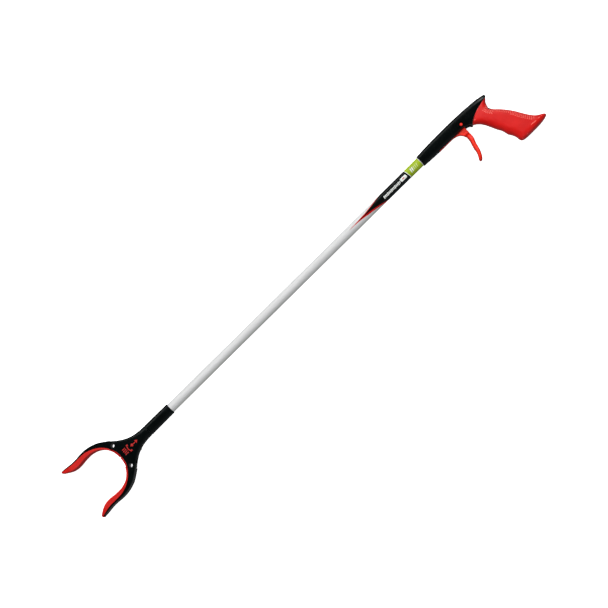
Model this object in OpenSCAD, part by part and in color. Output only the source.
// Reacher grabber with a turning head, two curved jaws and a pistol handle.
// It lies on its side: +X runs along the tube from the jaws to the handle,
// +Y points away from the trigger, and +Z points up, out of the handle's left side.
// The origin is on the tube's axis, where a storage clip holds the tube.

/* [Tube] */
// Outside diameter of the aluminium tube
tube_d = 14; // [13.8:0.1:14.1]
// Wall thickness of the tube
tube_wall = 1; // [0.8:0.1:1.1]
// Distance from the origin to the tube's head end
tube_front = 300; // [250:1:350]
// Distance from the origin to the mouth of the handle
mouth_x = 237; // [230:1:300]
// Length of the tube held inside the handle
tube_grip = 25; // [24:0.5:26]

/* [Head] */
// Thickness of the head from side to side
head_t = 17; // [16.6:0.1:18]
// Thickness of each side plate of the head
plate_t = 3.4; // [3:0.1:3.6]
// Distance of the jaw pivots ahead of the tube's end
pivot_u = 51.5; // [51.2:0.1:51.8]
// Distance of the jaw pivots from the tube's axis
pivot_v = 19.1; // [19:0.05:19.2]
// Radius of the head's ears round the jaw pivots
ear_r = 6.2; // [6:0.1:6.3]

/* [Jaws] */
// Width of the black jaw arms
arm_w = 17; // [15:0.5:18]
// Width of the red jaw linings
lining_w = 20; // [18:0.5:22]
// Angle that each jaw turns from open to closed, in degrees
jaw_swing = 28.6; // [20:0.2:28.6]

/* [Handle] */
// Width of the housing from side to side
housing_w = 20; // [19.6:0.2:21]
// Width of the soft grip from side to side
grip_w = 25; // [23:0.5:28]

/* [Trigger] */
// Angle that the trigger turns when it is squeezed, in degrees
trigger_swing = 36; // [24:1:36]
// Distance from the trigger's pivot to its link pin
link_r = 10.5; // [10.2:0.1:10.6]
// Width of the finger blade
blade_w = 18; // [14:1:19]

/* [Mechanism] */
// Diameter of the steel pull rod
rod_d = 4; // [3.8:0.1:4.1]
// Radial clearance of running fits
fit = 0.06; // [0.03:0.01:0.1]
// Side clearance of pins in their slots
slot_play = 0.12; // [0.1:0.01:0.15]

/* [Hidden] */

$fn = 48;
eps = 0.01;
curve_steps = 4;
ring_sides = 28;

// Colours
black = [0.04, 0.045, 0.045];
silver = [0.83, 0.84, 0.84];
steel = [0.62, 0.63, 0.65];
soft_red = [0.78, 0.1, 0.07];
bright_red = [0.95, 0.14, 0.08];
lime = [0.63, 0.73, 0.12];
nylon = [0.85, 0.85, 0.8];

// Tube and what runs in it
tube_r = tube_d / 2;
bore_r = tube_r - tube_wall;
tube_end = mouth_x + tube_grip;
rod_r = rod_d / 2;
rod_fit_r = rod_r + fit;
film_t = 0.15;
wrap_x = [97, 211.5];
band_x = [212.2, 236.2];
collar_len = 43.5;
collar_r = [8.65, 8.1];
lock_pin_y = 4.6;
lock_pin_r = 1.2;
guide_x = [-110, 90];
guide_len = 8;
plug_len = 14;

// Head, in its own frame: u runs forward from the tube's end, v is Y
head_z = head_t / 2;
cavity_z = head_z - plate_t;
neck_u = 0.9;
neck_len = 8;
neck_r = 8.55;
spindle_r = 5.5;
flange_u = [14, 18];
flange_r = 7;
head_play = 0.2;
edge_bow_r = 41;
edge_u = 52.3;
bush_r = 3.3;
bush_hole_r = 2.7;
head_screw_u = 28;
head_screw_v = 9.5;
detent_u = 10;
detent_r = 1.2;
detent_z = 6.3;

// Trigger mechanism
rod_travel = 2 * link_r * sin(trigger_swing / 2);
drive_pin_r = 1.5;
drive_u = 49.5;
drive_v = 8;
lever_z = 2.5;
fork_z = 2.8;
root_z = 4.8;
root_r = 6.9;
button_u = [30, 33];
button_r = 3.6;

// Handle, in its own frame: h runs back from the mouth of the handle
trunnion = [76.6, -4.7];
trunnion_r = 2.2;
cheek_z = 5.5;
neck_z = 3.4;
web_z = 1.1;
link_bar_z = 3.3;
link_block_z = 4.4;
link_pin_r = 1.25;
link_pin_z = 2.6;
housing_z = housing_w / 2;
nose_len = 24;
core_z = 8.5;
link_pin = trunnion + link_r * [-sin(trigger_swing / 2), -cos(trigger_swing / 2)];
screw_r = 1.4;
screw_head_r = 2.2;
screw_end_z = 5.3;
screw_hole_z = 5.5;
handle_screw_at = [[36, 5.5], [90, 2], [112, 2.4], [134, -60]];
handle_screw_head_z = [8.2, 8.2, 8.2, 10.2];
spring_x = [213, 248];
spring_coils = 8;
spring_r = 4.2;
wire_r = 0.55;

// A point between b and c on a smooth curve through a, b, c and d
function spline_point(a, b, c, d, t) =
    0.5 * (2 * b + (c - a) * t + (2 * a - 5 * b + 4 * c - d) * t * t
        + (3 * b - a - 3 * c + d) * t * t * t);

// A smooth open curve through the points
function smooth_curve(p, steps = curve_steps) =
    let (n = len(p) - 1)
    [for (i = [0 : n - 1], k = [0 : steps - 1])
        spline_point(p[max(i - 1, 0)], p[i], p[i + 1], p[min(i + 2, n)], k / steps),
        p[n]];

// A closed ring round a station, between an oval and a rectangle
function soft_ring(station) =
    let (front = [station[0], station[1]], back = [station[2], station[3]],
        middle = (front + back) / 2, reach = (back - front) / 2)
    [for (k = [0 : ring_sides - 1])
        let (c = squared(cos(360 * k / ring_sides)), s = squared(sin(360 * k / ring_sides)))
        [middle.x + reach.x * c, middle.y + reach.y * c, station[4] * s]];

function squared(value) = sign(value) * pow(abs(value), 0.7);

function unit(v) = v / norm(v);

function reverse(p) = [for (i = [len(p) - 1 : -1 : 0]) p[i]];

function turn(p, angle) =
    [p.x * cos(angle) - p.y * sin(angle), p.x * sin(angle) + p.y * cos(angle)];

// Edge curves of the upper jaw, from the middle of the head to the tip
lining_face = smooth_curve([
    [55.5, 0.8], [56.1, 7], [57.9, 14], [62.7, 22.3], [71, 29.4], [82, 33.1], [93, 33.4],
    [104, 32.3], [113, 32.8], [121, 35.6], [129.4, 40.5]
]);
lining_back = smooth_curve([
    [52.4, 0.8], [53, 7], [55.2, 14], [60.1, 22.6], [67.3, 30], [76.8, 35.7], [88, 39.2],
    [101, 39.7], [112, 39.9], [128.2, 42.9]
]);
arm_back = smooth_curve([
    [49.6, 26.7], [63.3, 36.2], [73, 40.2], [83, 42.4], [93, 42.7], [103, 41.9],
    [113, 42.2], [128.2, 44.2]
]);
tip_u = 130.7;
tip_r = 5;
tip_taper = 2;
tip_cap = [[tip_u, 41.7], [130.5, 43.2], [129.7, 44.1], [128.2, 44.2]];

// Edge of the head from the neck to the jaw's shoulder
flank = smooth_curve([
    [neck_len, 8.6], [14, 9.2], [20, 10], [27, 12], [34, 15], [41, 19.7], [48, 25.4]
]);

// Edge curves of the handle
housing_top = smooth_curve([
    [0, 8.5], [25, 9.6], [53, 10], [85, 9.4], [111, 7.7], [123, 6], [128, 4.9],
    [130, 3.2], [129.8, 1.1], [128.4, -0.4]
]);
housing_seam = smooth_curve([
    [128.4, -0.4], [119.6, -2.6], [105.3, -6.4], [97, -9.9], [90.6, -13.6], [88.4, -15.8]
]);
housing_under = smooth_curve([
    [87.2, -15.5], [84.2, -12.3], [79.7, -10.9], [74, -10.4], [53, -10.1], [25, -9.7],
    [0, -8.5]
]);
// Stations of the grip, from inside the housing down to the heel; each is
// [front x, front y, back x, back y, half width]
grip_stations = smooth_curve([
    [87, -12.5, 126.8, 1.5, 9.9], [88.4, -15.8, 128.4, -0.4, 10.4],
    [91, -17, 124, -5.2, 11.4], [95, -20, 121.6, -11.2, 12.2],
    [101, -28, 123.8, -19.4, 12.9], [105.5, -38.6, 132, -28.2, 13.2],
    [110.6, -49.6, 141.5, -41, 13.3], [113.4, -59, 149.5, -54.8, 13.3],
    [117.6, -67.3, 156.5, -66, 13.2], [119.2, -75.5, 163, -73, 13],
    [121.6, -80.2, 170.8, -78.2, 12.2], [126.5, -81.6, 168.5, -80.2, 10],
    [135, -81.9, 161, -81.4, 7]
], 3);
core_outline = [
    [92, -6], [116, 0], [118, -12], [143, -58], [147, -70], [126, -72], [120, -60],
    [109, -36]
];

// Edge curves of the trigger
blade_front = smooth_curve([
    [57, -10.35], [62.2, -11.6], [66.8, -14.8], [69.5, -20], [70.1, -25], [68.8, -31.5],
    [66.2, -38.5], [64.8, -46.5], [61.8, -53.2], [59.3, -57.4], [59.5, -59.5]
]);
blade_back = smooth_curve([
    [61.2, -60.4], [64, -59.4], [67, -55.4], [70.2, -49], [71.8, -43], [73.6, -36.8],
    [76.3, -30.3], [77.2, -24], [77.4, -18], [77.7, -10.9]
]);

module at_head() {
    translate([-tube_front, 0, 0]) mirror([1, 0, 0]) children();
}

module at_handle() {
    translate([mouth_x, 0, 0]) children();
}

// A slab of a flat outline, the same on both sides of the mid-plane
module slab(half_z) {
    translate([0, 0, -half_z]) linear_extrude(2 * half_z) children();
}

// A cylinder along X, from x0 to x1
module bar(r, x0, x1) {
    translate([x0, 0, 0]) rotate([0, 90, 0]) cylinder(r = r, h = x1 - x0);
}

// A pin across the mid-plane
module cross_pin(at, r, half_z) {
    translate([at.x, at.y, -half_z]) cylinder(r = r, h = 2 * half_z);
}

// The half-space on one side of the mid-plane
module half(side) {
    translate([-1000, -500, side > 0 ? 0 : -200]) cube([2000, 1000, 200]);
}

module tube() {
    color(silver) difference() {
        bar(tube_r, -tube_front, tube_end);
        bar(bore_r, -tube_front - 1, tube_end + 1);
        cross_pin([tube_end - 12, lock_pin_y], lock_pin_r, head_t);
        cross_pin([-tube_front + 8, lock_pin_y], lock_pin_r, head_t);
    }
}

module film(x_range) {
    difference() {
        bar(tube_r + film_t, x_range[0], x_range[1]);
        bar(tube_r, x_range[0] - 1, x_range[1] + 1);
    }
}

module tube_wrap() {
    color(black) film(wrap_x);
}

module green_band() {
    color(lime) film(band_x);
}

module front_collar() {
    lip = 1.2;
    color(black) difference() {
        translate([-tube_front, 0, 0]) rotate([0, 90, 0]) rotate_extrude()
            polygon([
                [tube_r, 0], [collar_r[0] - 0.5, 0], [collar_r[0], 0.6], [collar_r[0], lip],
                [collar_r[1], collar_len - 0.6], [collar_r[1] - 0.6, collar_len],
                [tube_r, collar_len]
            ]);
        spindle_pin();
    }
}

module swivel_washer() {
    color(black) at_head() difference() {
        bar(8.2, 0.1, neck_u - 0.1);
        bar(spindle_r + fit, 0, neck_u);
    }
}

// Plug in the tube's end that carries the head on its round nose
module head_spindle() {
    color(nylon) at_head() difference() {
        union() {
            bar(bore_r, -16, 0);
            bar(spindle_r, -eps, flange_u[1]);
            bar(flange_r, flange_u[0], flange_u[1]);
        }
        bar(rod_fit_r, -17, flange_u[1] + 1);
        cross_pin([-8, lock_pin_y], lock_pin_r, head_t);
        detent_track();
    }
}

// Groove round the spindle for the detent ball, with a dimple at every quarter turn
module detent_track() {
    translate([detent_u, 0, 0]) rotate([0, 90, 0]) rotate_extrude()
        translate([detent_z, 0]) circle(r = detent_r + 0.1);
    for (quarter = [0 : 3])
        rotate([90 * quarter, 0, 0]) translate([detent_u, 0, spindle_r - 1])
            cylinder(r = 0.7, h = 2);
}

module spindle_pin() {
    color(steel) cross_pin([-tube_front + 8, lock_pin_y], lock_pin_r, 5.2);
}

module rod_guides() {
    color(nylon) for (x = guide_x) difference() {
        bar(bore_r, x - guide_len / 2, x + guide_len / 2);
        bar(rod_fit_r, x - guide_len, x + guide_len);
    }
}

module tube_plug() {
    color(nylon) difference() {
        bar(bore_r, tube_end - plug_len, tube_end);
        bar(rod_fit_r, tube_end - plug_len - 1, tube_end + 1);
        cross_pin([tube_end - 12, lock_pin_y], lock_pin_r, head_t);
    }
}

module tube_lock_pin() {
    color(steel) cross_pin([tube_end - 12, lock_pin_y], lock_pin_r, 7.6);
}

// Side outline of the head, ears and curved front edge included
module head_outline() {
    difference() {
        union() {
            polygon(concat(
                flank, [[51, 24], [pivot_u, pivot_v], [60, 12], [60, -12],
                [pivot_u, -pivot_v], [51, -24]], reverse([for (p = flank) [p.x, -p.y]])
            ));
            for (side = [-1, 1]) translate([pivot_u, side * pivot_v]) circle(r = ear_r);
        }
        // Room for the jaws' shoulders, which wrap round the ears
        for (side = [-1, 1]) scale([1, side]) difference() {
            translate([pivot_u, pivot_v]) rotate(-15) square([20, 20]);
            translate([pivot_u, pivot_v]) circle(r = ear_r);
        }
        for (side = [-1, 1]) scale([1, side]) difference() {
            translate([pivot_u, pivot_v]) rotate(14) square([20, 20]);
            translate([pivot_u, pivot_v]) circle(r = ear_r);
        }
        translate([edge_u + edge_bow_r, 0]) circle(r = edge_bow_r, $fn = 96);
    }
}

// Space inside the head for the levers and the crosshead
module head_cavity_outline() {
    polygon([
        [18.8, -6.5], [28.3, -6.5], [34, -12.2], [41, -16.6], [41.5, -60], [80, -60],
        [80, 60], [41.5, 60], [41, 16.6], [34, 12.2], [28.3, 6.5], [18.8, 6.5]
    ]);
}

module head_body() {
    difference() {
        union() {
            bar(neck_r, neck_u, neck_len + eps);
            slab(head_z) head_outline();
        }
        slab(cavity_z) head_cavity_outline();
        bar(spindle_r + 2 * fit, 0, flange_u[1] + 1);
        bar(flange_r + head_play, flange_u[0] - head_play, flange_u[1] + head_play);
        for (side = [-1, 1]) {
            cross_pin([pivot_u, side * pivot_v], bush_r, head_t);
            head_screw_hole(side);
        }
        // Pocket for the detent ball and its leaf spring
        translate([detent_u, 0, spindle_r]) cylinder(r = detent_r + fit, h = 2.6);
        translate([detent_u - 4.2, -1.6, 7.45]) cube([8.4, 3.2, 0.6]);
    }
}

module head_screw_hole(side) {
    translate([head_screw_u, side * head_screw_v, -head_z - 1]) {
        cylinder(r = screw_r, h = head_z + 1 + screw_hole_z);
        cylinder(r = screw_head_r + fit, h = 3.2);
    }
}

module head_shell_left() {
    color(black) at_head() intersection() {
        head_body();
        half(1);
    }
}

module head_shell_right() {
    color(black) at_head() intersection() {
        head_body();
        half(-1);
    }
}

// A cross-head screw whose head faces -Z
module screw(length, head_h = 1.9) {
    difference() {
        union() {
            cylinder(r = screw_head_r, h = head_h);
            cylinder(r = screw_r, h = length);
        }
        for (angle = [0, 90]) rotate(angle) translate([-1.5, -0.3, -eps])
            cube([3, 0.6, 1.1]);
    }
}

module head_screws() {
    start_z = -head_z + 0.3;
    color(steel) at_head() for (side = [-1, 1])
        translate([head_screw_u, side * head_screw_v, start_z]) screw(screw_end_z - start_z);
}

module jaw_pivot_bushes() {
    color(black) at_head() for (side = [-1, 1]) difference() {
        cross_pin([pivot_u, side * pivot_v], bush_r, head_z);
        cross_pin([pivot_u, side * pivot_v], bush_hole_r, head_t);
    }
}

module detent_ball() {
    color(steel) at_head() translate([detent_u, 0, detent_z]) sphere(r = detent_r);
}

module detent_spring() {
    color(steel) at_head() translate([detent_u - 4, -1.4, detent_z + detent_r + 0.02])
        cube([8, 2.8, 0.3]);
}

// Where the drive pin is at a share of its stroke, in the frame of the turning upper jaw
function drive_path(share) =
    [pivot_u, pivot_v] + turn(
        [drive_u - rod_travel * share - pivot_u, drive_v - pivot_v], jaw_swing * share
    );

// Slot in the jaw's lever that keeps the jaw in step with the drive pin
module drive_slot() {
    steps = 6;
    half_w = drive_pin_r + slot_play;
    stroke = [for (i = [0 : steps]) drive_path(i / steps)];
    path = concat(
        [stroke[0] + half_w * unit(stroke[0] - stroke[1])],
        stroke,
        [stroke[steps] + half_w * unit(stroke[steps] - stroke[steps - 1])]
    );
    last = len(path) - 1;
    side = [for (i = [0 : last])
        let (along = unit(path[min(i + 1, last)] - path[max(i - 1, 0)]))
        half_w * [-along.y, along.x]];
    polygon(concat(
        [for (i = [0 : last]) path[i] + side[i]],
        [for (i = [last : -1 : 0]) path[i] - side[i]]
    ));
}

module arm_outline() {
    polygon(concat(arm_back, reverse(lining_back)));
}

module lever_outline() {
    polygon([
        [52.4, 0.8], [53, 7], [55.2, 14], [pivot_u, pivot_v], [46.8, 14], [46, 8],
        [46.3, 2.6], [48.6, 1]
    ]);
}

// Everything of the jaw that lies outside the head's plates
module outside_the_ear() {
    difference() {
        translate([pivot_u - 2.2, 15.8]) square([100, 40]);
        translate([pivot_u, pivot_v]) circle(r = ear_r + 0.3);
        translate([pivot_u, pivot_v]) rotate(109) square([20, 20]);
    }
}

// Rounds the jaw's tip as seen from inside the mouth
module round_tip(half_z) {
    start_u = tip_u - tip_r;
    start_z = half_z - tip_taper;
    intersection() {
        children();
        rotate([90, 0, 0]) translate([0, 0, -60]) linear_extrude(60) union() {
            polygon([
                [40, -half_z], [118, -half_z], [start_u, -start_z], [start_u, start_z],
                [118, half_z], [40, half_z]
            ]);
            for (side = [-1, 1])
                translate([start_u, side * (start_z - tip_r)]) circle(r = tip_r);
            translate([start_u - 1, tip_r - start_z])
                square([tip_r + 1, 2 * (start_z - tip_r)]);
        }
    }
}

module jaw_arm() {
    difference() {
        union() {
            round_tip(arm_w / 2) slab(arm_w / 2) intersection() {
                arm_outline();
                outside_the_ear();
            }
            slab(root_z) union() {
                translate([pivot_u, pivot_v]) circle(r = root_r);
                intersection() {
                    arm_outline();
                    translate([pivot_u, pivot_v]) circle(r = 11);
                    translate([40, pivot_v - root_r]) square([30, 30]);
                }
            }
            slab(lever_z) lever_outline();
        }
        slab(head_t) lining_outline();
        cross_pin([pivot_u, pivot_v], bush_r + fit, head_t);
        slab(head_t) drive_slot();
    }
}

module lining_outline() {
    polygon(concat(lining_face, tip_cap, reverse(lining_back)));
}

module jaw_lining() {
    round_tip(lining_w / 2) slab(lining_w / 2) intersection() {
        lining_outline();
        outside_the_ear();
    }
    slab(root_z - 0.1) intersection() {
        lining_outline();
        translate([40, 0]) square([30, 19]);
    }
}

module upper_jaw_arm() {
    color(black) at_head() jaw_arm();
}

module upper_jaw_lining() {
    color(soft_red) at_head() jaw_lining();
}

module lower_jaw_arm() {
    color(black) at_head() mirror([0, 1, 0]) jaw_arm();
}

module lower_jaw_lining() {
    color(soft_red) at_head() mirror([0, 1, 0]) jaw_lining();
}

// Fork that carries the two drive pins, pulled by the rod's button
module crosshead() {
    boss_r = 2.8;
    color(nylon) at_head() difference() {
        slab(root_z) union() {
            for (side = [-1, 1]) scale([1, side]) {
                translate([drive_u, drive_v]) circle(r = boss_r);
                polygon([
                    [drive_u, drive_v + boss_r], [43, drive_v + boss_r], [36, 6], [26, 6],
                    [26, 0], [37.5, 0], [38.5, drive_v - boss_r], [drive_u, drive_v - boss_r]
                ]);
            }
        }
        slab(fork_z) translate([37.5, -20]) square([30, 40]);
        bar(rod_fit_r, 20, button_u[0] + 1);
        bar(button_r + 0.1, button_u[0] - 0.05, button_u[1] + 0.05);
        for (side = [-1, 1]) cross_pin([drive_u, side * drive_v], drive_pin_r, head_t);
    }
}

module drive_pins() {
    color(steel) at_head() for (side = [-1, 1])
        cross_pin([drive_u, side * drive_v], drive_pin_r, root_z);
}

module pull_rod() {
    color(steel) bar(rod_r, -tube_front - button_u[1], mouth_x + 46);
}

module rod_button() {
    color(steel) at_head() difference() {
        bar(button_r, button_u[0], button_u[1]);
        bar(rod_r, button_u[0] - 1, button_u[1] + 1);
    }
}

module spring_seat() {
    color(nylon) difference() {
        union() {
            bar(4.9, spring_x[0] - 2, spring_x[0]);
            bar(3.2, spring_x[0] - 7, spring_x[0] - 2 + eps);
        }
        bar(rod_r, spring_x[0] - 8, spring_x[0] + 1);
    }
}

// Coil spring that pushes the rod forward and opens the jaws
module return_spring() {
    sides = 6;
    rings_per_turn = 14;
    rings = spring_coils * rings_per_turn;
    first = spring_x[0] + wire_r + 0.02;
    pitch = (spring_x[1] - spring_x[0] - 2 * wire_r - 0.04) / rings;
    color(steel) loft([for (i = [0 : rings])
        let (around = 360 * i / rings_per_turn)
        [for (k = [0 : sides - 1])
            let (r = spring_r + wire_r * cos(360 * k / sides))
            [first + pitch * i + wire_r * sin(360 * k / sides), r * cos(around),
                r * sin(around)]]]);
}

// Side outline of the black housing
module housing_outline() {
    polygon(concat(housing_top, housing_seam, housing_under));
}

// Length of housing from h0 to h1, with rounded corners at the top and at the bottom
module rounded_body(h0, h1, bottom) {
    corner = 7;
    top = 10.1;
    side_z = housing_z - corner;
    translate([h0, 0, 0]) rotate([90, 0, 90]) linear_extrude(h1 - h0) {
        for (side = [-1, 1], y = [top - corner, bottom + corner])
            translate([y, side * side_z]) circle(r = corner);
        translate([bottom, -side_z]) square([top - bottom, 2 * side_z]);
        translate([bottom + corner, -housing_z])
            square([top - bottom - 2 * corner, housing_w]);
    }
}

module housing_body() {
    chin_h = 78;
    intersection() {
        slab(housing_z) housing_outline();
        union() {
            rotate([0, 90, 0]) cylinder(r1 = 8.6, r2 = 10.6, h = nose_len);
            rounded_body(nose_len - eps, chin_h, -10.6);
            rounded_body(chin_h - eps, 132, -24);
        }
    }
    slab(core_z) polygon(core_outline);
}

// Space inside the housing for the tube, the link and the trigger
module housing_space() {
    bar(tube_r, -1, tube_grip);
    bar(rod_r + 0.6, tube_grip - 1, 32);
    translate([29, -9.2, -link_block_z - 0.3]) cube([27, 13, 2 * link_block_z + 0.6]);
    translate([28.9, -12, -link_bar_z - 0.4]) cube([58, 8, 2 * link_bar_z + 0.8]);
    translate([54, -9.2, -cheek_z - 0.2]) cube([30, 11, 2 * cheek_z + 0.4]);
    cross_pin(trunnion, trunnion_r + fit, housing_w);
    translate([79, -18, -neck_z - 0.5]) cube([8, 10, 2 * neck_z + 1]);
    cross_pin([tube_grip - 12, lock_pin_y], lock_pin_r, 7.6);
    for (i = [0 : 3]) {
        at = handle_screw_at[i];
        outside_z = 30;
        translate([at.x, at.y, -outside_z]) {
            cylinder(r = screw_r, h = outside_z + screw_hole_z);
            cylinder(r = screw_head_r + fit, h = outside_z + 2 - handle_screw_head_z[i]);
        }
    }
}

module handle_shell(side) {
    at_handle() intersection() {
        difference() {
            housing_body();
            housing_space();
        }
        half(side);
    }
}

module handle_shell_left() {
    color(black) handle_shell(1);
}

module handle_shell_right() {
    color(black) handle_shell(-1);
}

module handle_screws() {
    color(steel) at_handle() for (i = [0 : 3]) {
        at = handle_screw_at[i];
        start_z = -handle_screw_head_z[i] + 0.1;
        translate([at.x, at.y, start_z]) screw(screw_end_z - start_z);
    }
}

// Soft grip moulded over the core; its sides are flattened where it lies on a table
module grip() {
    color(soft_red) at_handle() difference() {
        intersection() {
            loft([for (station = grip_stations) soft_ring(station)]);
            slab(grip_w / 2) square([400, 400], center = true);
        }
        slab(core_z) polygon(core_outline);
        slab(housing_w) housing_outline();
        translate([handle_screw_at[3].x, handle_screw_at[3].y, -30])
            cylinder(r = screw_head_r + 0.5, h = 25);
    }
}

// A closed skin through rings of points, with a flat cap at each end
module loft(rings) {
    sides = len(rings[0]);
    last = len(rings) - 1;
    walls = [for (i = [0 : last - 1], k = [0 : sides - 1])
        let (next = (k + 1) % sides)
        [i * sides + k, (i + 1) * sides + k, (i + 1) * sides + next, i * sides + next]];
    first_cap = [for (k = [0 : sides - 1]) k];
    last_cap = [for (k = [sides - 1 : -1 : 0]) last * sides + k];
    polyhedron([for (ring = rings) each ring], concat(walls, [first_cap, last_cap]));
}

// Flat link between the rod and the trigger; its lower edge shows under the housing
module pull_link() {
    color(soft_red) at_handle() difference() {
        union() {
            translate([31, -4, -link_block_z]) cube([16, 7.4, 2 * link_block_z]);
            slab(link_bar_z) polygon([[29.5, -9.6], [60, -9.6], [60, -4], [47, -4],
                [47, -1], [31, -1]]);
            slab(web_z) union() {
                polygon([[58, -9.6], [63, -10.4], [68, -14], [link_pin.x, link_pin.y],
                    [link_pin.x, link_pin.y + 2.8], [60, -4], [58, -4]]);
                translate(link_pin) circle(r = 2.8);
            }
        }
        bar(rod_r, 30, 46);
        cross_pin([40, 0], link_pin_r, head_t);
        // Upright slot, because the pin rises and falls as the trigger turns
        slab(head_t) {
            half_w = link_pin_r + slot_play;
            drop = link_r * (1 - cos(trigger_swing / 2));
            translate(link_pin) {
                circle(r = half_w);
                translate([0, -drop]) circle(r = half_w);
                translate([-half_w, -drop]) square([2 * half_w, drop]);
            }
        }
    }
}

module rod_link_pin() {
    color(steel) at_handle() difference() {
        cross_pin([40, 0], link_pin_r, link_block_z);
        bar(rod_r, 30, 50);
    }
}

// Trigger: a finger blade on two cheeks, with a round trunnion on each cheek
module trigger() {
    wide_top = -19;
    fork_floor = -18.4;
    color(bright_red) at_handle() difference() {
        union() {
            slab(cheek_z) translate(trunnion) circle(r = 4);
            cross_pin(trunnion, trunnion_r, housing_z - 0.2);
            slab(neck_z) {
                polygon(concat(blade_front, blade_back, [[79.4, -6], [72, -6], [71.8, -10.2]]));
            }
            slab(blade_w / 2) intersection() {
                polygon(concat(blade_front, blade_back));
                translate([40, wide_top - 60]) square([60, 60]);
            }
        }
        translate([40, fork_floor, -web_z - 0.2]) cube([60, 30, 2 * web_z + 0.4]);
        cross_pin(link_pin, link_pin_r, link_pin_z);
    }
}

module trigger_link_pin() {
    color(steel) at_handle() cross_pin(link_pin, link_pin_r, link_pin_z);
}

tube();
tube_wrap();
green_band();
front_collar();
swivel_washer();
head_spindle();
spindle_pin();
rod_guides();
tube_plug();
tube_lock_pin();
handle_shell_left();
handle_shell_right();
handle_screws();
grip();
head_shell_left();
head_shell_right();
head_screws();
jaw_pivot_bushes();
detent_ball();
detent_spring();
upper_jaw_arm();
upper_jaw_lining();
lower_jaw_arm();
lower_jaw_lining();
crosshead();
drive_pins();
pull_rod();
rod_button();
spring_seat();
return_spring();
pull_link();
rod_link_pin();
trigger();
trigger_link_pin();
